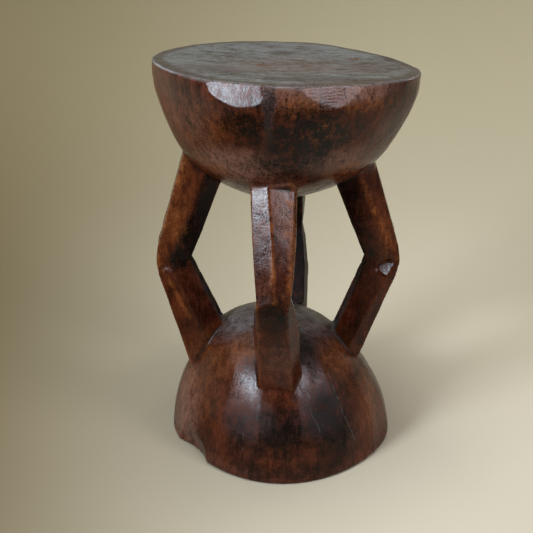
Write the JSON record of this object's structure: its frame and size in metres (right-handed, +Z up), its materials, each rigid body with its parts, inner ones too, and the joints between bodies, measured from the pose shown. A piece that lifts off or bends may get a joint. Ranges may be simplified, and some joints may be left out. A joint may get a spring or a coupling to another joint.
{
  "type": "carved stool",
  "caption": "Low carved wooden stool: thick bowl-shaped seat on bent, square-hewn legs that spring from a solid domed foot.",
  "frame": {"origin": "middle of the stool on the floor, the centre of the bounding box's underside", "axes": "+Z up through the seat, -Y towards the side that faces the viewer, +X to the viewer's right"},
  "size_m": [0.2841, 0.3029, 0.4354],
  "materials": {
    "seat_wood": "dark hand-worn patina, greyed on top",
    "leg_wood": "dark red-brown hand-worn patina, glossy on the arrises",
    "foot_wood": "dark brown patina with fine drying cracks"
  },
  "bodies": {
    "root": {"seat": "seat_wood", "leg_front": "leg_wood", "leg_right": "leg_wood", "leg_back": "leg_wood", "leg_left": "leg_wood", "foot": "foot_wood"}
  },
  "joints": []
}
